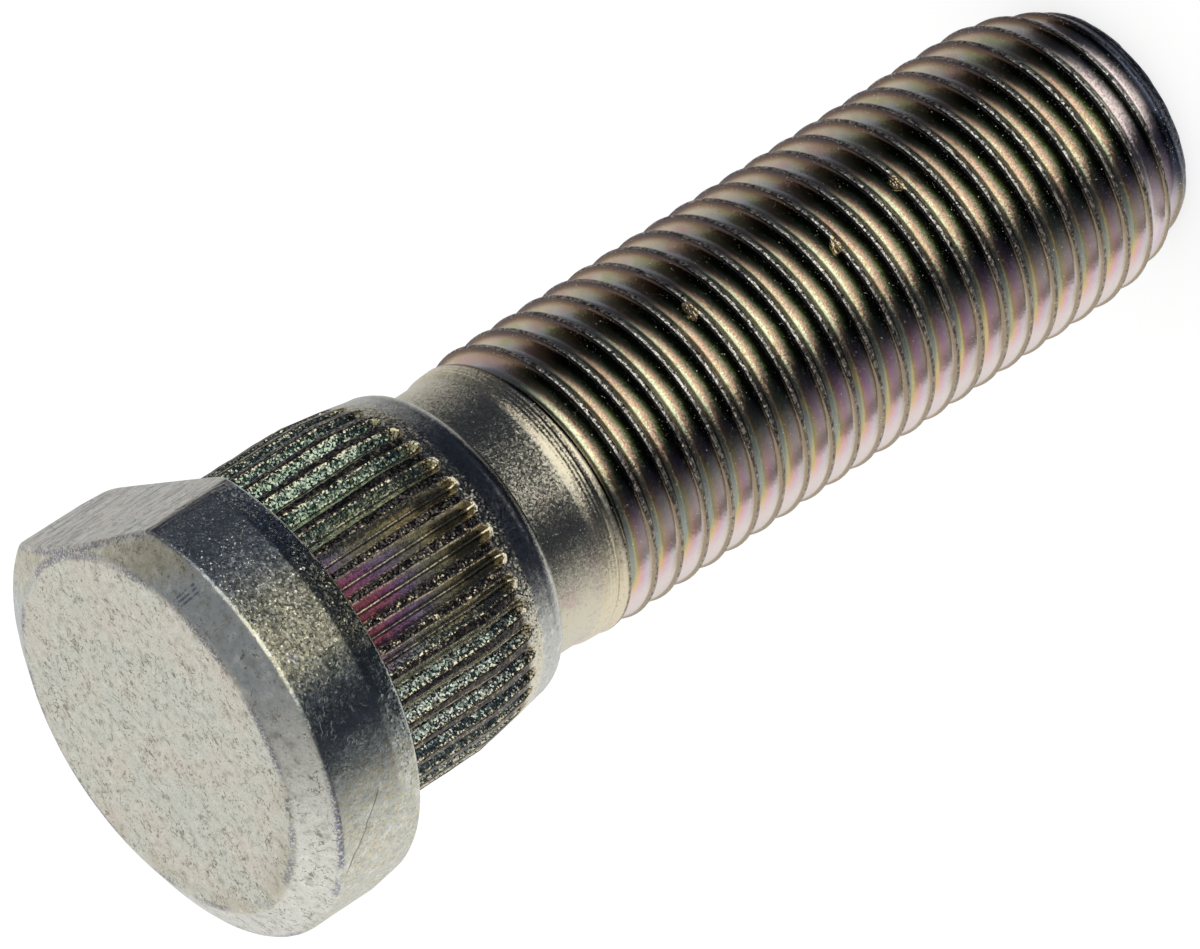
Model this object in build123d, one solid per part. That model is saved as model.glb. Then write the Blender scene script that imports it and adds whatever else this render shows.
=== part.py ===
from build123d import *
import os
from math import radians, tan

# A wheel stud, forged and rolled in one piece, standing on its threaded end with the head up.
# The origin is the centre of the flat threaded end. +Z runs up the axis to the head, and +X faces
# the clipped side of the head. All sizes are in millimetres.

# Head
under_head_length = 50.0        # threaded end to the seat under the head
head_height = 5.8               # seat to the front face
head_diameter = 20.8
face_diameter = 17.0
face_bevel_angle = 30.0         # slope of the bevel round the face, from the plane of the face
back_taper_length = 1.35        # stretch of the side wall that draws in towards the seat
back_taper_depth = 0.22
rim_break = 0.12                # edge break where the bevel meets the side wall
back_edge_break = 0.2           # edge break where the side wall meets the seat
clipped_side_offset = 8.9       # axis to the flat that is sheared off one side of the head

# Serrated collar, pressed into the hub
collar_diameter = 16.1
collar_length = 11.0            # seat to the shoulder that faces the neck
collar_straight = 6.5           # seat to the start of the lead-in
lead_in_length = 2.0            # slope of the lead-in, down to the nose
lead_in_drop = 0.29             # radial fall over the lead-in
nose_drop = 0.28                # radial fall from the nose to the shoulder's rounding
shoulder_radius = 0.9
groove_count = 40
groove_depth = 0.52
groove_angle = 90.0             # between the two walls of a groove
groove_length = 8.4             # seat to the rounded end of a groove
groove_phase = 2.3              # angle of the first groove from the clipped side

# Neck and thread
neck_diameter = 13.0
neck_length = 2.5               # plain stretch between the shoulder and the thread's run-out
run_out_length = 1.9            # stretch where the thread dies away into the neck
thread_diameter = 13.75
tip_length = 4.4                # stretch where the thread rounds off to the end
tip_diameter = 11.0
tip_bulge = 0.3                 # how far the tip's outline swells beyond a straight cone
tip_edge_break = 0.2            # edge break round the end face

# Sizes that follow from the ones above
seat_z = under_head_length
face_z = seat_z + head_height
head_r = head_diameter / 2
face_r = face_diameter / 2
back_r = head_r - back_taper_depth
rim_z = face_z - (head_r - face_r) * tan(radians(face_bevel_angle))
collar_r = collar_diameter / 2
nose_r = collar_r - lead_in_drop
shoulder_r = nose_r - nose_drop
shoulder_z = seat_z - collar_length
neck_r = neck_diameter / 2
neck_z = shoulder_z - neck_length
thread_r = thread_diameter / 2
thread_z = neck_z - run_out_length
tip_r = tip_diameter / 2
groove_root_r = collar_r - groove_depth
groove_half_slope = tan(radians(groove_angle / 2))


def spun(outline, arcs=(), roundings=(), breaks=()):
    """Spin half a section about the axis: its corners and arcs, then its roundings and edge breaks."""
    with BuildPart() as body:
        with BuildSketch(Plane.XZ) as section:
            with BuildLine():
                Polyline(*outline)
                for start, end, swell in arcs:
                    SagittaArc(start, end, -swell)
            make_face()
            for r, z, radius in roundings:
                fillet(section.vertices().sort_by_distance((r, z))[0], radius)
            for r, z, length in breaks:
                chamfer(section.vertices().sort_by_distance((r, z))[0], length)
        revolve(axis=Axis.Z)
    return body.part


def shank():
    """Thread, neck and collar, carried up into the head so that the two join as one."""
    outline = [
        (thread_r, tip_length),
        (thread_r, thread_z),
        (neck_r, neck_z),
        (neck_r, shoulder_z),
        (shoulder_r, shoulder_z),
        (nose_r, seat_z - collar_straight - lead_in_length),
        (collar_r, seat_z - collar_straight),
        (collar_r, seat_z + head_height / 2),
        (0, seat_z + head_height / 2),
        (0, 0),
        (tip_r, 0),
    ]
    tip = [((tip_r, 0), (thread_r, tip_length), tip_bulge)]
    shoulder = [(shoulder_r, shoulder_z, shoulder_radius)]
    end_edge = [(tip_r, 0, tip_edge_break)]
    return spun(outline, tip, shoulder, end_edge)


def head():
    """The flanged head, with a flat sheared off one side from the seat to the face."""
    outline = [
        (0, seat_z),
        (back_r, seat_z),
        (head_r, seat_z + back_taper_length),
        (head_r, rim_z),
        (face_r, face_z),
        (0, face_z),
        (0, seat_z),
    ]
    edges = [(back_r, seat_z, back_edge_break), (head_r, rim_z, rim_break)]
    sheared = Box(head_r, 2 * head_diameter, 3 * head_height, align=(Align.MIN, Align.CENTER, Align.CENTER))
    return spun(outline, breaks=edges) - Pos(clipped_side_offset, 0, seat_z) * sheared


def groove_cutter():
    """One V groove along the collar, ending towards the neck in half a cone of the same slope."""
    reach = 1.15 * groove_depth
    half_width = reach * groove_half_slope
    start_z = seat_z - groove_length + (groove_depth - lead_in_drop) * groove_half_slope
    vee = Polygon(
        (groove_root_r, 0),
        (groove_root_r + reach, half_width),
        (groove_root_r + reach, -half_width),
        align=None,
    )
    trough = extrude(Pos(0, 0, start_z) * vee, amount=groove_length, dir=(0, 0, 1))
    end = Cone(0, half_width, reach, align=(Align.CENTER, Align.CENTER, Align.MIN))
    return trough + Pos(groove_root_r, 0, start_z) * Rot(0, 90, 0) * end


def wheel_stud():
    """The finished stud: the shank with its ring of grooves, joined to the head."""
    grooves = PolarLocations(0, groove_count, start_angle=groove_phase) * groove_cutter()
    return (shank() - grooves) + head()


stud = wheel_stud()
stud.label = "wheel_stud"
os.makedirs("parts", exist_ok=True)
export_step(stud, "parts/wheel_stud.step")
print(f"wheel_stud: volume {stud.volume:.1f} mm3, box {stud.bounding_box()}")
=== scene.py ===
# %% [markdown]
# A press-in wheel stud, forged and rolled from one bar of steel and plated with zinc under a thin
# film that shimmers like oil on water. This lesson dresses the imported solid: each stretch of the
# stud is rebuilt as a surface worked out with numpy, because a rolled thread and a ring of pressed
# grooves are easy to say as formulas and hard to push into shape by hand.

import bmesh
import bpy
import numpy as np
from mathutils import Matrix


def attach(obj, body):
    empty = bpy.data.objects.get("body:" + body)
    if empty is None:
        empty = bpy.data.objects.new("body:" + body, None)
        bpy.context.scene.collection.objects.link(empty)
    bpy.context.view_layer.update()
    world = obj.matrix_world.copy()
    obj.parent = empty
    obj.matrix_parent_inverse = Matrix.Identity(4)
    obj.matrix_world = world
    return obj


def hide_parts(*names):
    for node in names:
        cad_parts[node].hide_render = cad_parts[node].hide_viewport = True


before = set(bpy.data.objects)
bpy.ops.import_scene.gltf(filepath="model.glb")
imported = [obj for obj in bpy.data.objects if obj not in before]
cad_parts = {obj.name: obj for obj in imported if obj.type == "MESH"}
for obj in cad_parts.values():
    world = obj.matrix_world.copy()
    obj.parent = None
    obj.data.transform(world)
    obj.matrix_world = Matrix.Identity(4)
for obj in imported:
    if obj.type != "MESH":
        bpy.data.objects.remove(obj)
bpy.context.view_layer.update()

# %% [markdown]
# The sizes of the real stud, in millimetres, standing on its threaded end. The thread is a 1.5 mm
# pitch on a 13.75 mm crest, and every other size was measured against it. Names of heights end in
# _z, and those of radii in _r. Blender reckons in metres, so points are scaled when they become a
# mesh.

# %% Sizes
millimetre = 0.001
face_z, rim_z, taper_z, seat_z = 55.8, 54.7, 51.35, 50.0
head_r, face_r, back_r, clipped_x = 10.4, 8.5, 10.18, 8.9
collar_r, nose_r, shoulder_r = 8.05, 7.76, 7.48
lead_in_z, nose_z, shoulder_z = 43.5, 41.5, 39.0
neck_r, thread_r, tip_r, tip_length = 6.5, 6.875, 5.5, 4.4
pitch, crest_z = 1.5, 33.96
print("stud", face_z, "mm tall, head", 2 * head_r, "mm, thread", 2 * thread_r, "mm")

# %% [markdown]
# Each stretch starts as a half outline, a row of corners with a rounding at each one. A spin of
# that outline would do for a plain stud. Here the outline is only the first of two parameters: the
# second is the angle round the axis, and formulas move the points of that grid in or out.


# %% Outlines with rounded corners
def rounded_outline(corners, arc_steps=6):
    """Points (r, z) along straight runs whose inner corners are arcs.

    A corner (r, z, radius) becomes an arc that touches both of its runs: its centre lies on the
    bisector at radius / sin(half the corner's angle), and it turns evenly from one touch to the other.
    """
    points = [np.array(corners[0][:2], float)]
    share = np.linspace(0, 1, arc_steps + 1)[:, None]
    for before, (r, z, radius), after in zip(corners, corners[1:-1], corners[2:]):
        corner = np.array([r, z], float)
        if radius == 0:
            points.append(corner)
            continue
        back = np.array(before[:2], float) - corner
        on = np.array(after[:2], float) - corner
        back /= np.linalg.norm(back)
        on /= np.linalg.norm(on)
        half = 0.5 * np.arccos(np.clip(back @ on, -1, 1))
        centre = corner + (back + on) / np.linalg.norm(back + on) * radius / np.sin(half)
        start = corner + back * radius / np.tan(half) - centre
        stop = corner + on * radius / np.tan(half) - centre
        turn = np.pi - 2 * half
        arc = (np.sin((1 - share) * turn) * start + np.sin(share * turn) * stop) / np.sin(turn)
        points.extend(centre + arc)
    points.append(np.array(corners[-1][:2], float))
    return np.array(points)


def refined(outline, step):
    """The same outline with more points on it: each run is cut into equal steps of at most `step`."""
    runs = np.linalg.norm(np.diff(outline, axis=0), axis=1)
    cuts = np.maximum(1, np.ceil(runs / step)).astype(int)
    run = np.repeat(np.arange(len(runs)), cuts)
    share = (np.arange(cuts.sum()) - np.repeat(np.cumsum(cuts) - cuts, cuts)) / np.repeat(cuts, cuts)
    points = outline[run] + share[:, None] * (outline[run + 1] - outline[run])
    return np.vstack([points, outline[-1:]])


# %% [markdown]
# A grid of points becomes a mesh when neighbours are joined by four-cornered faces and the last
# column is joined to the first. On the thread the last column meets the first one whole pitch
# further on, so the seam takes a shift. Points that fall together at the axis are merged, which
# closes the poles.

# %% From a grid to a mesh
merge_distance = 2e-7


def points_at(radius, angle, height):
    """Points x, y, z from their distance to the axis, their angle round it and their height."""
    return np.stack([radius * np.cos(angle), radius * np.sin(angle), height], axis=-1)


def add_surface(name, radius, angle, height, seam_shift=0):
    """A closed piece from three arrays [row, column]: radius and height in millimetres, and angle.

    Row j, column i is joined to its neighbours on all sides; beyond the last column comes
    column 0, `seam_shift` rows earlier.
    """
    rows, columns = radius.shape
    points = points_at(radius, angle, height) * millimetre
    index = np.arange(rows * columns).reshape(rows, columns)
    inner = np.stack([index[:-1, :-1], index[:-1, 1:], index[1:, 1:], index[1:, :-1]], axis=-1)
    last, first = index[seam_shift:, -1], index[: rows - seam_shift, 0]
    seam = np.stack([last[:-1], first[:-1], first[1:], last[1:]], axis=-1)
    faces = np.vstack([inner.reshape(-1, 4), seam])
    mesh = bpy.data.meshes.new(name)
    mesh.from_pydata(points.reshape(-1, 3), [], faces)
    work = bmesh.new()
    work.from_mesh(mesh)
    bmesh.ops.remove_doubles(work, verts=work.verts, dist=merge_distance)
    bmesh.ops.holes_fill(work, edges=[e for e in work.edges if e.is_boundary], sides=0)
    bmesh.ops.recalc_face_normals(work, faces=work.faces)
    open_edges = sum(not e.is_manifold for e in work.edges)
    work.to_mesh(mesh)
    work.free()
    mesh.polygons.foreach_set("use_smooth", np.ones(len(mesh.polygons), bool))
    piece = bpy.data.objects.new(name, mesh)
    bpy.context.scene.collection.objects.link(piece)
    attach(piece, "root")
    print(name, "triangles:", sum(len(p.vertices) - 2 for p in mesh.polygons), "open edges:", open_edges)
    return piece


# %% [markdown]
# No forged surface is perfectly even. Sculpting would add small swells by hand. A sum of cosine
# waves in random directions gives them everywhere at once, and the same ones on each run.


# %% Uneven metal
def soft_min(a, b, width):
    """The smaller of two values, with the crease between them rounded over about `width`."""
    return 0.5 * (a + b - np.sqrt((a - b) ** 2 + width**2))


def unevenness(radius, angle, height, wavelength, seed, waves=28):
    """A smooth random field near -1 to 1: many cosine waves of one wavelength in random directions."""
    rng = np.random.default_rng(seed)
    way = rng.normal(size=(3, waves))
    way *= 2 * np.pi / (wavelength * np.linalg.norm(way, axis=0))
    points = points_at(radius, angle, height)
    return np.cos(points @ way + rng.uniform(0, 2 * np.pi, waves)).sum(-1) / np.sqrt(waves)


# %% [markdown]
# The head is forged, so its face runs into the bevel without a crisp line, and one side is sheared
# off flat. A boolean cut would leave a knife edge there. A soft minimum of the round outline and
# the plane's distance gives the sheared edge its small rounding in one formula. The middles of the
# face and the seat are flat, so there every sixth row is enough.

# %% The head
face_rounding, rim_rounding, taper_rounding, seat_rounding, clip_rounding = 0.7, 0.22, 0.8, 0.3, 0.1
seat_ring_r, fine_beyond_r, coarse_every = 9.2, 6.9, 6
head_columns, head_step, least_cosine = 720, 0.16, 0.05
head_corners = [
    (0, face_z),
    (face_r, face_z, face_rounding),
    (head_r, rim_z, rim_rounding),
    (head_r, taper_z, taper_rounding),
    (back_r, seat_z, seat_rounding),
    (seat_ring_r, seat_z, 0),
    (0, seat_z),
]
head_outline = refined(rounded_outline(head_corners), head_step)
row = np.arange(len(head_outline))
head_outline = head_outline[(head_outline[:, 0] > fine_beyond_r) | (row % coarse_every == 0)]
turn = np.linspace(0, 2 * np.pi, head_columns, endpoint=False)
round_r, angle = np.meshgrid(head_outline[:, 0], turn, indexing="ij")
height = np.repeat(head_outline[:, 1:], len(turn), axis=1)
plane_r = clipped_x / np.maximum(np.cos(angle), least_cosine)
smooth_r = soft_min(round_r, plane_r, clip_rounding) * (round_r > 0)
print("head's grid:", smooth_r.shape)

# %% [markdown]
# Forging leaves slow swells of a few thousandths of a millimetre on the wall and the bevel, and a
# knock in handling left a shallow dent in the wall. Both are added to the radius: the dent is a bell
# curve of the distance from its middle.

# %% Swells and a dent in the head
swell, calm_r, calm_fade, seat_edge = 0.008, 7.0, 2.0, 0.2
knock_angle, knock_z = np.radians(205), 52.0
knock_wide, knock_tall, knock_deep = 1.0, 0.75, 0.28
uneven = unevenness(smooth_r, angle, height, wavelength=3.2, seed=1)
uneven = uneven + 0.5 * unevenness(smooth_r, angle, height, wavelength=1.3, seed=2)
outer = np.clip((smooth_r - calm_r) / calm_fade, 0, 1)
knock_round = (angle - knock_angle) * head_r / knock_wide
knock = np.exp(-(knock_round**2) - ((height - knock_z) / knock_tall) ** 2)
radius = smooth_r + (swell * uneven * outer - knock_deep * knock) * (height > seat_z + seat_edge)
head = add_surface("stud_head", radius, angle, height)
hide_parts("wheel_stud")

# %% [markdown]
# The collar is pressed into the hub, and its ring of grooves bites into the bore. Each groove is a
# V that keeps its width along the collar and closes in a round end, so its depth under the turned
# blank follows from its half width at that height. Cutting forty solids would leave long slivers
# of faces; as a formula the grooves cost no more than a plain ring.

# %% Grooves
groove_count, groove_phase = 40, np.radians(2.3)
groove_wide, groove_narrow, root_flat = 0.55, 0.42, 0.04
groove_round_z, groove_end_z = 41.6, 41.3


def groove_depth(angle, height, radius):
    """Depth of the V under the blank: the half width there less the distance from the root line.

    The half width shrinks evenly from the seat to the round end, and from there on follows a
    quarter of an ellipse. A narrow flat lies along the root.
    """
    step = 2 * np.pi / groove_count
    off_root = np.abs((angle - groove_phase + step / 2) % step - step / 2) * radius
    past = np.clip((groove_round_z - height) / (groove_round_z - groove_end_z), 0, 1)
    half = np.interp(height, [groove_round_z, seat_z], [groove_narrow, groove_wide]) * np.sqrt(1 - past**2)
    return np.maximum(0, half - np.maximum(off_root, root_flat))


print("grooves:", groove_count, "each", round(np.degrees(2 * np.pi / groove_count), 1), "degrees apart")

# %% [markdown]
# The columns of the collar's grid crowd at the root and the edges of a groove, where the shape
# turns. The rows crowd at the round ends, and elsewhere most of them are left out.

# %% The grooved collar
collar_top_z, shoulder_start_z, shoulder_lean, inside_neck_r = seat_z + 0.6, 39.9, 0.02, 6.2
lead_in_rounding, nose_rounding, shoulder_rounding = 3.0, 1.5, 0.88
collar_step, wall_r, crowded_z, wall_every, cap_every = 0.12, 6.4, 43, 4, 16
collar_corners = [
    (0, collar_top_z),
    (collar_r, collar_top_z, 0),
    (collar_r, lead_in_z, lead_in_rounding),
    (nose_r, nose_z, nose_rounding),
    (shoulder_r, shoulder_start_z, 0),
    (shoulder_r - shoulder_lean, shoulder_z, shoulder_rounding),
    (inside_neck_r, shoulder_z, 0),
    (0, shoulder_z),
]
collar_outline = refined(rounded_outline(collar_corners, arc_steps=8), collar_step)
row = np.arange(len(collar_outline))
on_wall = (collar_outline[:, 0] > wall_r) & ((collar_outline[:, 1] < crowded_z) | (row % wall_every == 0))
collar_outline = collar_outline[on_wall | (row % cap_every == 0)]
collar_outline[0, 0] = collar_outline[-1, 0] = 0
half_groove = np.radians([0, 0.2, 0.32, 0.7, 1.2, 1.7, 2.2, 2.6, 2.9, 3.15, 3.4, 3.65, 3.9, 4.2])
one_groove = np.concatenate([-half_groove[:0:-1], half_groove])
turn = (groove_phase + np.arange(groove_count)[:, None] * 2 * np.pi / groove_count + one_groove).ravel()
round_r, angle = np.meshgrid(collar_outline[:, 0], turn, indexing="ij")
height = np.repeat(collar_outline[:, 1:], len(turn), axis=1)
tear, torn_z, torn_fade, grooved_r = 0.012, 42, 1.5, 7.0
torn = tear * unevenness(round_r, angle, height, wavelength=0.9, seed=3)
torn = torn * np.clip((height - torn_z) / torn_fade, 0.25, 1)
radius = round_r - np.where(round_r > grooved_r, groove_depth(angle, height, round_r) - torn, 0)
collar = add_surface("stud_collar", radius, angle, height)

# %% [markdown]
# The thread is rolled, so its roots and crests are round and its flanks a little hollow. Such an
# outline is easiest to say by its slope: level on the crest, steepest just below it, easing down the
# flank, and level again in the root. The running sum of that slope is the depth.

# %% The thread's outline
slope_places = [0, 0.02, 0.1, 0.13, 0.5, pitch / 2]
slope_angles = np.radians([0, 12, 22, 67.5, 53.5, 0])
fine = np.linspace(0, pitch / 2, 1501)
slope = np.tan(np.interp(fine, slope_places, slope_angles))
fine_depth = np.cumsum(slope) * (fine[1] - fine[0])
thread_depth = float(fine_depth[-1])


def thread_share(phase):
    """Depth under the crest as a share of the full depth, from the distance to the nearest crest."""
    away = np.abs((phase + 0.5) % 1 - 0.5) * pitch
    return np.interp(away, fine, fine_depth) / thread_depth


print("thread depth", round(thread_depth, 3), "mm")

# %% [markdown]
# The rows of the shank's grid climb with the helix, so that every row keeps one place on the
# outline and the crests come out clean with few points. The same rows run on over the neck and the
# rounded tip, where the thread fades out, and close to a point at both ends.

# %% The threaded shank
shank_columns, first_turn, last_turn = 144, -4, 25
cap_z, closing, tip_bulge = 39.6, 0.8, 1.2
half_rows = np.array([0.03, 0.1, 0.13, 0.2, 0.29, 0.38, 0.47, 0.53, 0.59, 0.66]) / pitch
one_pitch = np.concatenate([[0], half_rows, [0.5], 1 - half_rows[::-1]])
rows = (np.arange(first_turn, last_turn)[:, None] + one_pitch).ravel()
turn = np.linspace(0, 2 * np.pi, shank_columns, endpoint=False)
phase, angle = np.meshgrid(rows, turn, indexing="ij")
path_z = crest_z - pitch * phase + pitch * angle / (2 * np.pi)
height = np.clip(path_z, 0, cap_z)
run_out_z = [33.9, 34.5, 35.2, 36.05, 36.4, 36.8]
run_out_r = [thread_r, 6.84, 6.71, 6.65, 6.52, neck_r]
crest_r = np.interp(height, run_out_z, run_out_r)
tipped = np.clip((tip_length - height) / tip_length, 0, 1)
crest_r = np.minimum(crest_r, thread_r + (tip_r - thread_r) * tipped + tip_bulge * tipped * (1 - tipped))
full = np.interp(height, [0.2, 1.2, 34.75, 35.5], [0, 1, 1, 0])
radius = crest_r - thread_depth * full * thread_share(phase)
end = np.clip(-path_z / closing, 0, 1)
cap = np.clip((path_z - cap_z) / closing, 0, 1)
radius = radius * (1 - end) * (1 - cap)
shank = add_surface("stud_shank", radius, angle, height, seam_shift=len(one_pitch))

# %% [markdown]
# Node trees are tedious to wire by hand and hard to read. A small class wraps a socket so that
# sums and products on it read like arithmetic, and one method adds any other kind of node.


# %% Shader arithmetic
class Shade:
    """A socket that can be reckoned with: `2 * a + b` adds Math nodes, `node` adds any other kind."""

    def __init__(self, tree, socket=None):
        self.tree = tree
        self.socket = socket

    def node(self, kind, settings=None, values=None, output=0):
        """Add a node: its settings first, a ramp's stops among them, then its sockets' values or links."""
        made = self.tree.nodes.new("ShaderNode" + kind)
        settings = dict(settings or {})
        stops = settings.pop("stops", None)
        if stops:
            made.color_ramp.elements.remove(made.color_ramp.elements[1])
            made.color_ramp.elements[0].position = stops[0][0]
            made.color_ramp.elements[0].color = (*stops[0][1], 1)
            for position, colour in stops[1:]:
                made.color_ramp.elements.new(position).color = (*colour, 1)
        for name, setting in settings.items():
            setattr(made, name, setting)
        for name, value in (values or {}).items():
            if isinstance(value, Shade):
                self.tree.links.new(value.socket, made.inputs[name])
            else:
                made.inputs[name].default_value = value
        return Shade(self.tree, made.outputs[output] if len(made.outputs) else None)

    def math(self, operation, *others):
        """One Math node with this value first."""
        return self.node("Math", {"operation": operation}, dict(enumerate((self, *others))))

    def __add__(self, other):
        return self.math("ADD", other)

    def __mul__(self, other):
        return self.math("MULTIPLY", other)

    def __sub__(self, other):
        return self.math("SUBTRACT", other)

    def __rsub__(self, other):
        return self.node("Math", {"operation": "SUBTRACT"}, {0: other, 1: self})

    def __truediv__(self, other):
        return self.math("DIVIDE", other)

    def __abs__(self):
        return self.math("ABSOLUTE")

    __radd__ = __add__
    __rmul__ = __mul__

    def most(self, other):
        """The larger of two values."""
        return self.math("MAXIMUM", other)

    def step(self, low, high):
        """0 before `low`, 1 past `high` and a smooth rise between; the other way round if high < low."""
        ends = {"Value": self, "From Min": low, "From Max": high}
        return self.node("MapRange", {"interpolation_type": "SMOOTHSTEP"}, ends)

    def band(self, start, full, fading, end):
        """0 up to `start`, 1 from `full` to `fading`, and 0 again from `end` on: two steps multiplied."""
        return self.step(start, full) * self.step(end, fading)

    def along(self, way):
        """How far a vector reaches along a direction: their dot product."""
        return self.node("VectorMath", {"operation": "DOT_PRODUCT"}, {0: self, 1: tuple(way)}, "Value")

    def noise(self, size, detail=1.0):
        """Soft random blotches about `size` millimetres across, from 0 to 1."""
        return self.node("TexNoise", None, {"Vector": self, "Scale": 1 / size, "Detail": detail})

    def ramp(self, *stops):
        """A colour for this value, from stops (position, colour) in rising order."""
        return self.node("ValToRGB", {"stops": stops}, {"Fac": self})

    def under(self, other, share):
        """This colour with another laid over it by a share from 0 to 1, on a Mix node's colour sockets."""
        laid = other if isinstance(other, Shade) else (*other, 1)
        return self.node("Mix", {"data_type": "RGBA"}, {0: share, 6: self, 7: laid}, 2)


# %% [markdown]
# The camera looks down on the head from one side, through a long lens, with the stud rolled so that
# the thread points to the upper right. Turning it by Euler angles would hide what it sees. Its axes
# are written along the stud instead: towards the viewer, aside, and down the shank.

# %% Camera
toward = np.array([0.2419, -0.9703, 0.0])
aside = np.array([-0.9703, -0.2419, 0.0])
down = np.array([0.0, 0.0, -1.0])
upward = -down
camera_right = 0.7293 * down + 0.4143 * toward + 0.5445 * aside
camera_up = 0.4747 * down + 0.2667 * toward - 0.8387 * aside
camera_back = -0.4927 * down + 0.8702 * toward - 0.0022 * aside
camera_place = millimetre * rim_z * upward - 0.2045 * down + 0.4029 * toward
pose = np.eye(4)
pose[:3] = np.column_stack([camera_right, camera_up, camera_back, camera_place])
camera_data = bpy.data.cameras.new("camera")
camera_data.sensor_fit = "HORIZONTAL"
camera_data.sensor_width = 36
camera_data.lens = 323.25
camera = bpy.data.objects.new("camera", camera_data)
camera.matrix_world = Matrix(pose.tolist())
bpy.context.scene.collection.objects.link(camera)
bpy.context.scene.camera = camera
print("camera", np.round(camera_place, 4), "m, lens", camera_data.lens, "mm")

# %% [markdown]
# Bare metal shows little but what it mirrors, so the studio matters as much as the finish. The
# stud stood in a white tent, brighter on its right, with a soft box in front and two dark gaps
# beside it. Lamps and cards could be built round it. A world is lighter, written by direction: how
# far round from the front a mirrored ray goes, and how high, both in degrees. Only mirrored rays
# see it; the camera and the floor see plain white.

# %% The studio
degrees = 180 / np.pi
box_level, top_level, brightest, background_level = 1.15, 0.25, 1.2, 0.9
world = bpy.data.worlds.new("studio")
bpy.context.scene.world = world
world.use_nodes = True
world.node_tree.nodes.clear()
room = Shade(world.node_tree)
ray = room.node("TexCoord", output="Generated")
round_about = ray.along(aside).math("ARCTAN2", ray.along(toward)) * degrees
high = ray.along(upward).math("ARCSINE") * degrees
right_wall = round_about.step(47, 112) * (0.84 - 0.12 * round_about.step(130, 180))
left_wall = round_about.step(-78, -150) * (0.50 + 0.22 * round_about.step(-110, -180))
walls = right_wall.most(left_wall)
tent = walls + (top_level - walls) * high.step(35, 85)
lower_edge = high - abs(round_about - 1) * 0.4
right_edge = round_about - high * 0.15
across = round_about.step(-78, -22) * right_edge.step(37, 6)
soft_box = across * lower_edge.step(-40, -10) * high.step(88, 58)
level = tent.most(soft_box * box_level)
gap = high.step(-65, -35).ramp((0.0, (0.003, 0.004, 0.007)), (0.99, (0.014, 0.021, 0.038)))
studio_colour = gap.under((brightest, brightest, 1.18), level / brightest)
mirrored = room.node("Background", None, {"Color": studio_colour})
plain = room.node("Background", None, {"Color": (1, 1, 1, 1), "Strength": background_level})
direct = room.node("LightPath", output="Is Camera Ray") + room.node("LightPath", output="Is Diffuse Ray")
seen = room.node("MixShader", None, {0: direct, 1: mirrored, 2: plain})
room.node("OutputWorld", None, {"Surface": seen})
bpy.context.scene.view_settings.view_transform = "Standard"
print("studio nodes:", len(world.node_tree.nodes))

# %% [markdown]
# The stud stands on a pale sheet. A sheet that only scattered light would look grey beside the
# background. This one glows a little by itself, so that it reads as white and still darkens where
# the stud keeps the light off it.

# %% The floor
reach, sheet_grey, sheet_glow = 3, 0.35, 0.75
floor_corners = [(-reach, -reach, 0), (reach, -reach, 0), (reach, reach, 0), (-reach, reach, 0)]
floor_mesh = bpy.data.meshes.new("floor")
floor_mesh.from_pydata(floor_corners, [], [(0, 1, 2, 3)])
floor = bpy.data.objects.new("floor", floor_mesh)
bpy.context.scene.collection.objects.link(floor)
floor.visible_glossy = False
sheet = bpy.data.materials.new("pale_sheet")
sheet.use_nodes = True
sheet.node_tree.nodes.clear()
paper = Shade(sheet.node_tree)
lit = paper.node("BsdfDiffuse", None, {"Color": (sheet_grey, sheet_grey, sheet_grey, 1)})
glow = paper.node("Emission", None, {"Strength": sheet_glow})
paper.node("OutputMaterial", None, {"Surface": paper.node("AddShader", None, {0: lit, 1: glow})})
floor_mesh.materials.append(sheet)
print("floor", 2 * reach, "m wide")

# %% [markdown]
# Zinc grows in crystals about a tenth of a millimetre across, each facing its own way, and that is
# what makes the plating sparkle. Bump alone would look like leather. Here each cell of a Voronoi
# pattern tilts the surface by its own random vector, so it mirrors one point of the studio. The
# clear film over the zinc is about as thin as a wave of light, and its thickness decides which
# colours it takes away: straw, rose, violet, then green. Every finish below works out four things
# from the place on the stud in millimetres: colour, roughness, relief in thousandths of a
# millimetre, and how far the crystals tilt.


# %% A plated finish
def plated(name, piece, paint, crystal):
    """A metal whose colour, roughness, relief and sparkle come from `paint`, given place and crystal."""
    material = bpy.data.materials.new(name)
    material.use_nodes = True
    material.node_tree.nodes.clear()
    canvas = Shade(material.node_tree)
    metres = canvas.node("TexCoord", output="Object")
    place = canvas.node("VectorMath", {"operation": "SCALE"}, {0: metres, "Scale": 1 / millimetre})
    cells = canvas.node("TexVoronoi", None, {"Vector": place, "Scale": 1 / crystal}, "Color")
    colour, roughness, relief, sparkle = paint(place, cells)
    centred = canvas.node("VectorMath", {"operation": "SUBTRACT"}, {0: cells, 1: (0.5, 0.5, 0.5)})
    tilt = canvas.node("VectorMath", {"operation": "SCALE"}, {0: centred, "Scale": sparkle})
    facing = canvas.node("NewGeometry", output="Normal")
    facet = canvas.node("VectorMath", {"operation": "ADD"}, {0: facing, 1: tilt})
    facet = canvas.node("VectorMath", {"operation": "NORMALIZE"}, {0: facet})
    shape = {"Strength": 1, "Distance": millimetre / 1000, "Height": relief, "Normal": facet}
    looks = {"Base Color": colour, "Metallic": 1, "Roughness": roughness}
    looks["Normal"] = canvas.node("Bump", None, shape)
    canvas.node("OutputMaterial", None, {"Surface": canvas.node("BsdfPrincipled", None, looks)})
    piece.data.materials.append(material)
    print(name, "nodes:", len(material.node_tree.nodes))


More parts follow.
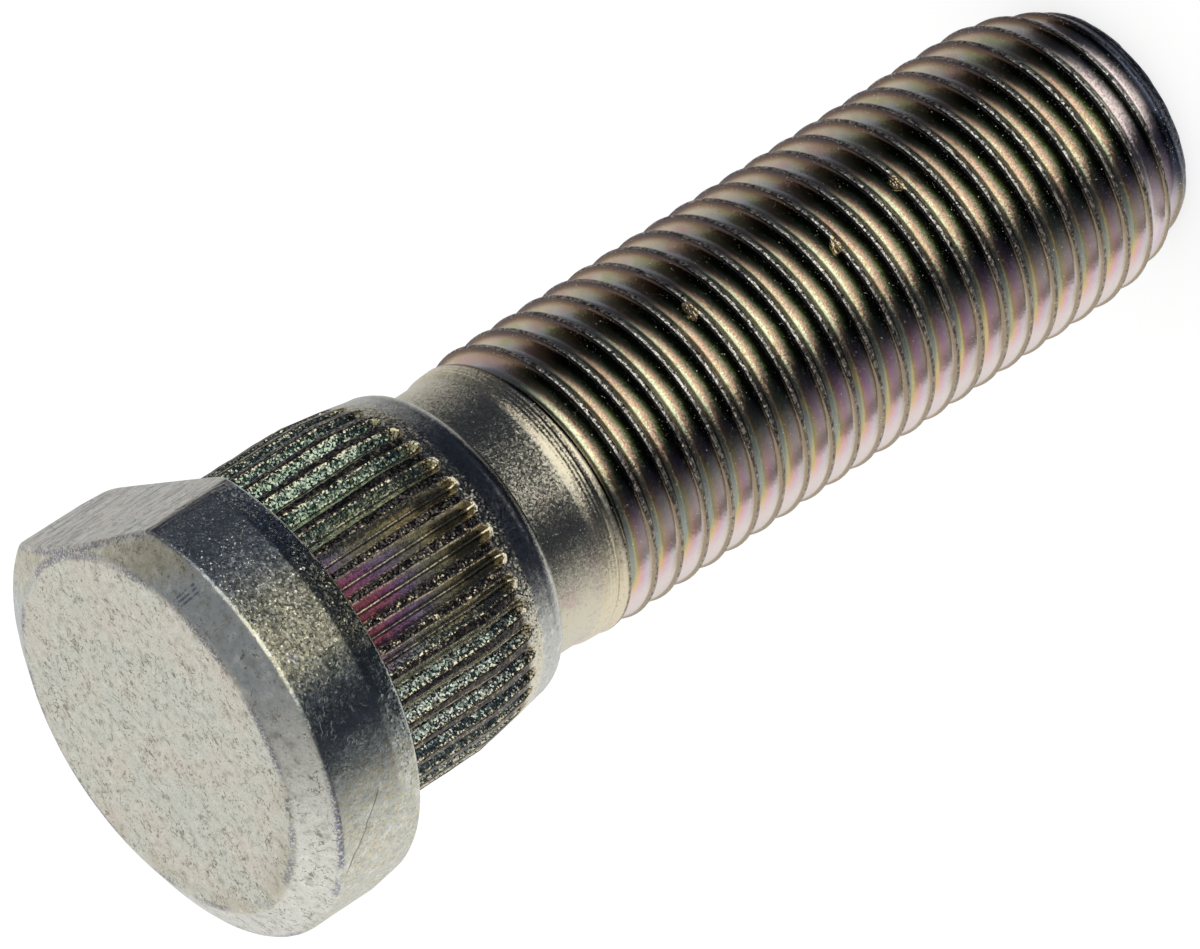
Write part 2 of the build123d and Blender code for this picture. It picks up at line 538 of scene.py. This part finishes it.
# %% [markdown]
# A finish has to know where a point lies. Unwrapped UVs would stretch in the thread. Distance from
# the axis, height, and distance to the right of the middle, seen from the front, all come straight
# from the place, and so do the turns round the axis.

# %% Where a point lies
x_way, y_way, z_way = np.eye(3)
back_turn = 0.35


def lie(place):
    """Distance from the axis, height and distance to the right: a length and two dot products."""
    flat = place.node("VectorMath", {"operation": "MULTIPLY"}, {0: place, 1: (1, 1, 0)})
    from_axis = flat.node("VectorMath", {"operation": "LENGTH"}, {0: flat}, "Value")
    return from_axis, place.along(z_way), place.along(aside)


def turns(place):
    """Turns round the axis from the clipped side, 0.35 to 1.35, with the jump at the back."""
    angle = place.along(y_way).math("ARCTAN2", place.along(x_way))
    return (angle / (2 * np.pi) - back_turn).math("FRACT") + back_turn


print("the back lies", 360 * back_turn, "degrees round from the clipped side")

# %% [markdown]
# The film lies thicker in the roots than on the crests, so its colour follows the depth in the
# thread. A picture wrapped round the shank would smear on the flanks. Here one row of colours, from
# the crest at 0 to the root at 1, serves the front and one serves each side. Where these rows go
# dark they hold painted shade for dark reflections: the front row is nearly black from the crest
# to the middle of the flank, the left row darkens at crest and root, and the right row at the root.

# %% The film in the thread
# Film colours with painted shade: the dark stops stand in for dark reflections.
front_film_and_shade = [
    (0.0, (0.06, 0.06, 0.06)),
    (0.4, (0.03, 0.03, 0.015)),
    (0.51, (0.064, 0.08, 0.02)),
    (0.61, (0.185, 0.25, 0.09)),
    (0.66, (0.30, 0.36, 0.19)),
    (0.70, (0.375, 0.42, 0.26)),
    (0.75, (0.465, 0.42, 0.30)),
    (0.80, (0.59, 0.44, 0.36)),
    (0.84, (0.72, 0.48, 0.37)),
    (0.88, (0.86, 0.55, 0.40)),
    (0.92, (0.84, 0.58, 0.36)),
    (0.95, (0.80, 0.61, 0.36)),
    (0.985, (0.77, 0.69, 0.44)),
    (1.0, (0.94, 0.96, 0.64)),
]
left_film_and_shade = [
    (0.03, (0.15, 0.12, 0.14)),
    (0.22, (0.24, 0.16, 0.12)),
    (0.33, (0.35, 0.23, 0.14)),
    (0.44, (0.45, 0.35, 0.20)),
    (0.55, (0.56, 0.51, 0.36)),
    (0.65, (0.57, 0.56, 0.48)),
    (0.82, (0.62, 0.63, 0.68)),
    (0.93, (0.34, 0.36, 0.41)),
]
right_film_and_shade = [
    (0.0, (0.40, 0.33, 0.24)),
    (0.14, (0.42, 0.33, 0.23)),
    (0.22, (0.60, 0.50, 0.41)),
    (0.34, (0.72, 0.66, 0.66)),
    (0.46, (0.75, 0.61, 0.68)),
    (0.58, (0.80, 0.53, 0.60)),
    (0.70, (0.88, 0.52, 0.45)),
    (0.80, (0.80, 0.60, 0.29)),
    (0.89, (0.62, 0.53, 0.25)),
    (0.96, (0.36, 0.40, 0.35)),
]
lilac_to_green = [(0.4, (0.58, 0.47, 0.68)), (0.5, (0.62, 0.60, 0.62)), (0.58, (0.50, 0.68, 0.54))]


def thread_film(place, film, depth, right):
    """The three rows blended left to right, rose and green blotches, and painted reflections far aside."""
    flank = depth.band(0.3, 0.5, 0.8, 0.95)
    patch = place.noise(2.2)
    left = film.ramp(*left_film_and_shade)
    # Far to the left the flanks are painted pale: a painted reflection of the white surroundings.
    left = left.under((0.96, 0.82, 0.66), right.step(-5.4, -6.4) * depth.step(0.2, 0.5) * 0.55)
    left = left.under((0.62, 0.33, 0.33), patch.step(0.5, 0.66) * flank * 0.5)
    left = left.under((0.46, 0.50, 0.24), patch.step(0.48, 0.36) * flank * 0.5)
    # Far to the right the flanks are painted pale too: a painted reflection.
    painted_reflection_far_right = right.step(5.6, 6.4) * depth.band(0.1, 0.22, 0.8, 0.92)
    lilac = film.ramp(*right_film_and_shade).under((0.94, 0.83, 0.79), painted_reflection_far_right * 0.8)
    colour = film.ramp(*front_film_and_shade).under(left, right.step(-3.6, -5.2)).under(lilac, right.step(1.6, 3.8))
    tinted = right.band(1.2, 2.4, 4.2, 5.8) * depth.band(0.3, 0.5, 0.75, 0.9)
    return colour.under(place.noise(4.5).ramp(*lilac_to_green), tinted * 0.5)


print("film colours, left, front and right:", len(left_film_and_shade), len(front_film_and_shade), len(right_film_and_shade))

# %% [markdown]
# One flank of each turn faces the tip and the other the head, and they do not look alike. The
# flank towards the tip is painted pale at the front, a painted light that the root mirrors, and a
# dark line of painted shade lies where it meets the root. The phase along the pitch tells them
# apart: 0 on a crest, then the flank towards the tip, a half in the root, and then the flank
# towards the head.


# %% The two flanks
def shade_flanks(colour, phase, right):
    """The film with painted light on the flank towards the tip and painted shade by the root: bands of
    phase.
    """
    # The flank towards the tip is painted pale: a painted light that the root mirrors.
    pale = phase.band(0.085, 0.1, 0.36, 0.40) * right.band(-4.6, -3.2, 1.0, 2.4)
    # A dark line beside the root: painted shade.
    corner = phase.band(0.36, 0.40, 0.44, 0.50) * right.step(4.6, 3.2)
    return colour.under((0.97, 0.93, 0.86), pale).under((0.09, 0.10, 0.10), corner * 0.85)


# %% [markdown]
# Rolling leaves the roots smooth and the crests chipped. Each chip has one tone, so a Voronoi cell
# picks it, and a few larger knocks through the film show gold. The chips are painted lighter at the
# front and darker to both sides: painted light and shade.

# %% Crests and nicks
flake_size = 0.125
nicks = [(26.42, -24.2), (18.77, -14.4), (14.28, -22.5)]
# Crest tones: painted light at the front, painted shade to both sides, brown far to the right.
painted_lit_flakes = [(0.05, (0.14, 0.14, 0.13)), (0.35, (0.72, 0.66, 0.56)), (0.6, (1.0, 0.97, 0.86))]
painted_shade_flakes = [(0.05, (0.06, 0.06, 0.07)), (0.5, (0.19, 0.17, 0.16)), (0.9, (0.52, 0.46, 0.38))]
brown_flakes = [(0.1, (0.16, 0.13, 0.11)), (0.5, (0.34, 0.29, 0.23)), (0.9, (0.56, 0.48, 0.38))]


def crest_flakes(place, right):
    """Flakes of rolled metal: painted lit at the front, painted shade to both sides, brown far to the
    right.
    """
    flake = place.node("TexVoronoi", None, {"Vector": place, "Scale": 1 / flake_size}, "Color").along(x_way)
    crest_shade_share = right.step(0.2, 1.5).most(right.step(-3.2, -4.6))
    rolled = flake.ramp(*painted_lit_flakes).under(flake.ramp(*painted_shade_flakes), crest_shade_share)
    return rolled.under(flake.ramp(*brown_flakes), right.step(3.0, 4.8))


def nick(place, height, round_from_front):
    """A ragged spot on a crest, from its height and its angle from the front: 1 inside, 0 outside."""
    angle = np.radians(round_from_front)
    spot = thread_r * (toward * np.cos(angle) + aside * np.sin(angle)) + height * upward
    away = place.node("VectorMath", {"operation": "DISTANCE"}, {0: place, 1: tuple(spot)}, "Value")
    return (away + place.noise(0.3) * 0.5).step(0.78, 0.62)


print("nicks:", len(nicks))

# %% [markdown]
# The neck was turned to the rolling diameter and left plain, so it is satin, straw coloured and
# stained, and it warms where the thread begins. The shank's finish brings thread, crests and neck
# together: a mask says where the thread has begun, and on the far side it is evened out over the
# jump in the count of turns.


# %% The shank's finish
def neck_satin(place, high, right):
    """Straw with rosy stains and dark pits from thresholds on two sizes of noise, and painted shade right
    of the front.
    """
    stain = place.noise(1.6, 2.0).step(0.52, 0.72)
    pits = place.noise(0.2, 3.0).step(0.56, 0.68)
    neck = stain.ramp((0.0, (0.76, 0.71, 0.56)), (0.9, (0.74, 0.62, 0.53)))
    neck = neck.under((0.86, 0.77, 0.57), high.step(36.5, 36.1)).under((0.4, 0.36, 0.3), pits * 0.4)
    # Just right of the front the neck is darkened: painted shade.
    return neck.under((0.36, 0.34, 0.28), right.band(0.5, 1.1, 2.2, 3.0) * 0.35)


def paint_shank(place, cells):
    """Film colours by depth in the thread, with chipped crests and a satin neck."""
    radius, high, right = lie(place)
    tipped = ((tip_length - high) / tip_length).most(0)
    drawn_in = tipped * (thread_r - tip_r - tip_bulge + tip_bulge * tipped)
    depth = (thread_r - drawn_in - radius) / thread_depth
    turn = turns(place)
    path = (crest_z - high) / pitch + turn
    phase = path.math("FRACT")
    from_front = turn - (back_turn + 0.5)
    threaded = (path - from_front * abs(from_front).step(0.4, 0.5)).step(-0.06, 0.02)
    plain = 1 - threaded
    grains = abs(right).step(4.0, 2.0)
    film = depth + (place.noise(3.0) - 0.5) * 0.4 + (cells.along(y_way) - 0.5) * (0.03 + grains * 0.1)
    colour = thread_film(place, film, depth, right)
    colour = colour.under((0.92, 0.80, 0.88), high.step(3.6, 2.4) * depth.step(0.3, 0.6) * 0.75)
    colour = shade_flanks(colour, phase, right)
    colour = colour.under((0.03, 0.03, 0.03), cells.along(z_way).step(0.4, 0.9) * (0.04 + grains * 0.22))
    # Just past each crest, far to the right, flank and crest are darkened: painted shade.
    painted_shade_behind_crest = phase.band(0.01, 0.04, 0.13, 0.18) * right.step(5.0, 5.8)
    colour = colour.under((0.2, 0.18, 0.15), painted_shade_behind_crest * 0.8)
    colour = neck_satin(place, high, right).under(colour, threaded)
    ahead = (phase + 0.5).math("FRACT") - 0.5
    head_side = (ahead - right.step(3.0, 4.8) * 0.03).step(-0.095, -0.06)
    crest = (depth - right.step(2.5, 4.5) * 0.08).step(0.1, 0.06) * head_side * threaded
    colour = colour.under(crest_flakes(place, right), crest * (1 - painted_shade_behind_crest * 0.7))
    # The end of the tip is painted dark navy: painted shade for dark reflections.
    end = high.step(1.15, 0.8) * (1 - abs(right).step(3.4, 5.0) * 0.8)
    first, second, third = [nick(place, *where) for where in nicks]
    gold = first.most(second).most(third)
    # Rare pale specks are painted glints, and they are tilted to sparkle too.
    painted_glint_specks = place.noise(0.05, 0.0).step(0.77, 0.8)
    colour = colour.under((0.08, 0.09, 0.13), end)
    colour = colour.under((1.0, 0.78, 0.48), gold).under((0.9, 0.88, 0.8), painted_glint_specks)
    roughness = 0.11 + threaded * depth * 0.12 + crest * 0.2 + plain * 0.18
    rings = (high * (2 * np.pi / 0.19)).math("SINE") * high.step(36.5, 36.0) * plain
    lumps = place.noise(0.14) * crest * 60 + place.noise(0.15) * gold * 80
    relief = place.noise(0.07, 1.5) * (1 + crest * 10 + plain * 4) + rings * 4 + lumps
    sparkle = 0.02 + (0.03 + depth.step(0.5, 0.7) * 0.05) * threaded * grains
    sparkle = sparkle + crest * (0.3 + grains * 0.4) + painted_glint_specks * 0.7
    sparkle = sparkle + plain * (0.2 - right.step(0.5, 2.0) * 0.08)
    return colour, roughness, relief, sparkle


plated("zinc_shank", shank, paint_shank, crystal=0.075)

# %% [markdown]
# On the walls of the grooves the film thickens towards the head, from straw to crimson at the front,
# while at the sides each crystal shows its own colour. Bump could not give a line as thin as the
# gold one along a groove's root, so it is a painted highlight, picked out by the distance from the
# root line, with a painted shadow beside it. The round ends of the grooves hold painted shade.

# %% The walls of the grooves
film_start_z = 41.0
rose_film = [
    (0.0, (0.70, 0.60, 0.42)),
    (0.25, (0.66, 0.61, 0.42)),
    (0.4, (0.58, 0.58, 0.50)),
    (0.54, (0.58, 0.51, 0.66)),
    (0.68, (0.68, 0.42, 0.60)),
    (0.86, (0.76, 0.38, 0.42)),
]
pale_crystals = [
    (0.0, (0.36, 0.46, 0.38)),
    (0.25, (0.52, 0.78, 0.58)),
    (0.5, (0.92, 0.92, 0.76)),
    (0.75, (0.80, 0.82, 0.78)),
    (0.9, (0.96, 0.86, 0.60)),
]


def groove_walls(place, cells, high, right, outer, beside):
    """Rose film by height in front, pale crystals aside, a painted gold root highlight and a shadow beside
    it.
    """
    rise = (high - film_start_z) / (seat_z - film_start_z)
    thickness = rise + (place.noise(1.8) - 0.5) * 0.3 + (cells.along(y_way) - 0.5) * 0.12
    thickness = thickness - (abs(right - 0.5) - 0.8).most(0) * 0.16
    pale = cells.along(y_way).ramp(*pale_crystals)
    pale = pale.under((0.46, 0.80, 0.46), right.step(-2.0, -4.0) * 0.3)
    pale = pale.under((0.50, 0.70, 0.80), right.step(2.5, 5.0) * 0.08)
    walls = thickness.ramp(*rose_film).under(pale, outer)
    walls = walls.under((0.06, 0.05, 0.05), cells.along(x_way) * (0.26 - outer * 0.08))
    # The round ends of the grooves are darkened: painted shade.
    walls = walls.under((0.22, 0.19, 0.12), high.step(42.0, 41.7) * 0.85)
    shadow = abs(beside + 0.085).step(0.055, 0.025)
    # The gold line along the root is a painted highlight.
    painted_root_highlight = abs(beside).step(0.055, 0.025)
    return walls.under((0.08, 0.07, 0.06), shadow * 0.8).under((1.0, 0.86, 0.58), painted_root_highlight)


print("film colours on the groove walls:", len(rose_film), "and of crystals:", len(pale_crystals))

# %% [markdown]
# The rolls that pressed the grooves tore the lands between them, and the plain nose towards the
# neck stayed satin. How far a point lies under the turned blank tells land from wall, so no piece of
# the collar has to be picked out by hand.

# %% The collar's finish
lead_in_slope = (collar_r - nose_r) / (lead_in_z - nose_z)
groove_mid_r = 7.6


def nose_satin(place, cells, right, nose):
    """Grey satin with dark pits and pale scuffs, warmer on the nose and darker to the left as painted
    shade.
    """
    satin = cells.along(x_way).ramp((0.0, (0.56, 0.57, 0.56)), (0.8, (0.68, 0.67, 0.62)))
    satin = satin.under((0.30, 0.29, 0.28), place.noise(0.22, 3.0).step(0.54, 0.68) * 0.5)
    satin = satin.under((0.92, 0.91, 0.86), place.noise(0.3, 3.0).step(0.5, 0.3) * 0.7)
    # Far to the left the satin is darkened: painted shade.
    satin = satin.under((0.34, 0.33, 0.31), right.step(-4.5, -6.5) * 0.5)
    satin = satin.under((1.0, 0.90, 0.66), nose * 0.55)
    # The nose is darkened to the left as well: painted shade.
    return satin.under((0.3, 0.28, 0.22), nose * right.step(-3.4, -5.0) * 0.5)


def paint_collar(place, cells):
    """Satin groove walls with a painted gold highlight along the root, and dark, torn lands between them.
    """
    radius, high, right = lie(place)
    cut = radius - collar_r + (lead_in_z - high).most(0) * lead_in_slope
    grooved = high.step(groove_round_z - 0.2, groove_round_z + 0.2)
    land = cut.step(-0.04, -0.015) * grooved
    wall = cut.step(-0.015, -0.05) * high.step(groove_end_z - 0.25, groove_end_z - 0.05)
    painted_lip_highlight = cut.band(-0.13, -0.09, -0.055, -0.03)
    outer = abs(right).step(2.2, 3.8)
    nose = high.step(40.6, 40.9)
    first_groove = float(groove_phase / (2 * np.pi))
    groove = ((turns(place) - first_groove) * groove_count + 0.5).math("FRACT") - 0.5
    beside = groove * (2 * np.pi * groove_mid_r / groove_count)
    walls = groove_walls(place, cells, high, right, outer, beside)
    # The lips of the lands carry a painted gold highlight.
    walls = walls.under((0.96, 0.82, 0.54), painted_lip_highlight * 0.8)
    chip = cells.along(x_way).step(0.55, 0.85) * place.noise(0.35).step(0.42, 0.56) * (1 - outer * 0.5)
    torn_metal = chip.ramp((0.0, (0.09, 0.08, 0.08)), (0.9, (0.92, 0.78, 0.52)))
    colour = nose_satin(place, cells, right, nose).under(walls, wall).under(torn_metal, land)
    roughness = 0.22 + land * 0.1 + (1 - grooved) * 0.04
    relief = place.noise(0.07, 1.5) * (3 + land * 6) + place.noise(0.3) * land * 25
    sparkle = 0.12 + outer * wall * 0.28 + painted_lip_highlight * wall * 0.3 + land * (0.5 - outer * 0.2)
    sparkle = sparkle + nose * (1 - grooved) * 0.3
    return colour, roughness, relief, sparkle


plated("zinc_collar", collar, paint_collar, crystal=0.08)

# %% [markdown]
# The head was struck between dies, so its face is pale and grained like frost, its bevel blue-grey,
# and its wall sparkles with crystals, blue to the left, gold in the middle and teal to the right. The
# gold is partly a painted highlight, and the teal is darkened with painted shade.
# Separate materials would meet in hard lines. One colour for each region, held to it by a soft mask
# of height or radius, lets them run into each other.

# %% The regions of the head
wall_crystals = [(0.0, (0.52, 0.57, 0.58)), (0.5, (0.68, 0.68, 0.58)), (0.9, (0.86, 0.77, 0.55))]
face_tones = [(0.35, (0.80, 0.81, 0.73)), (0.5, (0.84, 0.82, 0.72)), (0.65, (0.86, 0.80, 0.70))]


def wall_film(cells, right):
    """A tone for each crystal, and three soft bands left to right: blue, gold partly painted highlight,
    teal painted shade.
    """
    body = cells.along(x_way).ramp(*wall_crystals)
    # The gold in the middle is partly film colour and partly a painted highlight.
    body = body.under((0.96, 0.90, 0.58), right.band(-4.0, -1.0, 0.5, 3.0) * 0.6)
    body = body.under((0.60, 0.72, 0.86), right.band(-9.0, -7.5, -4.5, -2.0) * 0.55)
    # The teal to the right is darkened: painted shade.
    return body.under((0.32, 0.44, 0.50), right.band(0.6, 2.2, 4.8, 6.4) * 0.45)


def face_film(warm, radius, right):
    """Pale cloudy tones, with olive towards the edge on the right."""
    olive = radius.step(7.0, 8.3) * right.step(-1.0, 4.0) * warm.step(0.4, 0.6)
    return warm.ramp(*face_tones).under((0.60, 0.57, 0.43), olive * 0.5)


def bevel_film(right, across):
    """Blue-grey on the left, paler to the right and straw towards the sheared flat."""
    slope = right.step(-0.5, 6.0).ramp((0.0, (0.62, 0.66, 0.66)), (0.5, (0.84, 0.83, 0.76)))
    return slope.under((0.72, 0.66, 0.48), across.step(6.3, 7.6) * 0.8)


print("crystal tones on the wall:", len(wall_crystals), "and on the face:", len(face_tones))

# %% [markdown]
# Wear shows on the head: brown specks and short cracks in the film, dotted blue where the edges
# rubbed, one long crease in the wall and a few scratches on the bevel. Each is a mask from noise of
# one size, or from the distance to a line.

# %% Marks on the head
scratch_middle = np.array([6.02, -7.15, 55.31])
scratch_ways = np.array([[0.309, -0.823, -0.475], [0.895, 0.421, -0.147]])
scratch_gap = 0.2
crease_z, crease_right, crease_slope = 52.4, 6.82, 0.87


def specks_and_cracks(place):
    """Specks of two sizes in drifts, and cracks where a slow noise crosses its middle: 1 on a mark."""
    spread = place.noise(1.0, 2.0).step(0.4, 0.62)
    small, large = place.noise(0.13, 3.0).step(0.60, 0.66), place.noise(0.32, 5.0).step(0.61, 0.67)
    specks = small.most(large) * (0.2 + 0.8 * spread)
    cracks = abs(place.noise(0.7, 4.0) - 0.5).step(0.014, 0.005)
    return specks.most(cracks * place.noise(0.8).step(0.5, 0.58))


def rubbed_edges(place, radius, high, right, flat):
    """Dots along the face's edge, the rim and the flat's border: narrow bands multiplied by noise."""
    inside, outside = face_r - 0.25, face_r + 0.25
    face_edge = radius.band(inside, face_r - 0.08, face_r + 0.08, outside) * high.step(55.35, 55.5)
    rim = high.band(rim_z - 0.18, rim_z - 0.08, rim_z + 0.06, rim_z + 0.16) * right.step(4.0, 6.5)
    clip_edge = flat * (1 - flat) * 4
    edges = (face_edge * 0.75).most(rim * 0.9).most(clip_edge * 0.9)
    return edges * place.noise(0.11, 2.0).step(0.4, 0.54) * place.noise(2.5).step(0.38, 0.56)


def crease(place, high, right):
    """A wavering line that climbs the wall on the right: the distance from a slanted line, cut narrow."""
    off_line = high - crease_z - (right - crease_right) * crease_slope + (place.noise(1.0) - 0.5) * 0.5
    return abs(off_line).step(0.07, 0.02) * high.band(52.3, 52.6, 54.2, 54.5) * right.step(6.0, 7.0)


def scratches(place):
    """A few short lines side by side: the distance across them repeats, and both lengths are bounded."""
    along, beside = [place.along(way) - float(scratch_middle @ way) for way in scratch_ways]
    lines = abs((beside / scratch_gap + 0.5).math("FRACT") - 0.5).step(0.34, 0.15)
    bounded = abs(beside).step(0.34, 0.28) * abs(along).step(0.65, 0.5)
    return lines * bounded * place.noise(0.4).step(0.35, 0.55)


print("scratches at", scratch_middle, "mm")

# %% [markdown]
# The head's finish lays the marks over the regions. The sheared flat carries streaks along the cut:
# noise read from a place that is squeezed in height comes out drawn into lines.


# %% The head's finish
def paint_head(place, cells):
    """Pale speckled face, blue-grey bevel, sparkling wall and a streaked flat, with dark edges."""
    radius, high, right = lie(place)
    across = place.along(x_way)
    face = high.step(face_z - 0.18, face_z - 0.04)
    bevel = high.step(rim_z - 0.1, rim_z + 0.15) * (1 - face)
    flat = across.step(clipped_x - 0.4, clipped_x - 0.04)
    wall = 1 - face.most(bevel).most(flat)
    warm, tone = place.noise(2.4, 2.0), place.noise(0.45, 4.0)
    sheared = warm.ramp((0.3, (0.76, 0.77, 0.73)), (0.6, (0.84, 0.79, 0.73)))
    colour = wall_film(cells, right).under(face_film(warm, radius, right), face)
    colour = colour.under(bevel_film(right, across), bevel).under(sheared, flat)
    colour = colour.under((0.36, 0.33, 0.27), tone.step(0.5, 0.8) * (0.8 - wall * 0.4))
    colour = colour.under((1.0, 0.98, 0.92), tone.step(0.48, 0.25) * 0.7)
    colour = colour.under((0.5, 0.47, 0.38), place.noise(0.09, 2.0).step(0.48, 0.7) * (0.3 + face * 0.2))
    marks = specks_and_cracks(place)
    colour = colour.under((0.20, 0.17, 0.11), marks * (0.75 - wall * 0.5))
    colour = colour.under((0.22, 0.22, 0.31), rubbed_edges(place, radius, high, right, flat))
    colour = colour.under((0.2, 0.18, 0.15), crease(place, high, right) * wall * 0.8)
    colour = colour.under((0.16, 0.18, 0.26), scratches(place) * bevel * 0.8)
    squeezed = place.node("VectorMath", {"operation": "MULTIPLY"}, {0: place, 1: (1.0, 1.0, 0.12)})
    streaks = squeezed.noise(0.2, 2.0)
    colour = colour.under((0.3, 0.28, 0.27), streaks.step(0.5, 0.72) * flat * 0.8)
    glint = place.noise(0.08, 0.0).step(0.64, 0.71) * wall * (0.1 + right.step(2.6, 0.2) * 0.9)
    colour = colour.under((1.0, 0.96, 0.82), glint * 0.8)
    frosted = right.step(0.0, -4.0) * high.step(taper_z - 0.15, taper_z + 0.15)
    roughness = 0.27 + face * 0.08 + flat * 0.06 + wall * (frosted * 0.08 - 0.01)
    lumps = place.noise(0.5, 3.0) * (8 + face * 16)
    relief = place.noise(0.17) * (6 + face * 6) + streaks * flat * 60 + lumps - marks * 5
    low_edge = high.step(taper_z - 0.15, taper_z - 0.45)
    sparkle = 0.05 + wall * (0.05 + right.step(0.5, -3.0) * 0.07 + low_edge * 0.17) + glint * 0.5
    return colour, roughness, relief, sparkle


plated("zinc_head", head, paint_head, crystal=0.1)
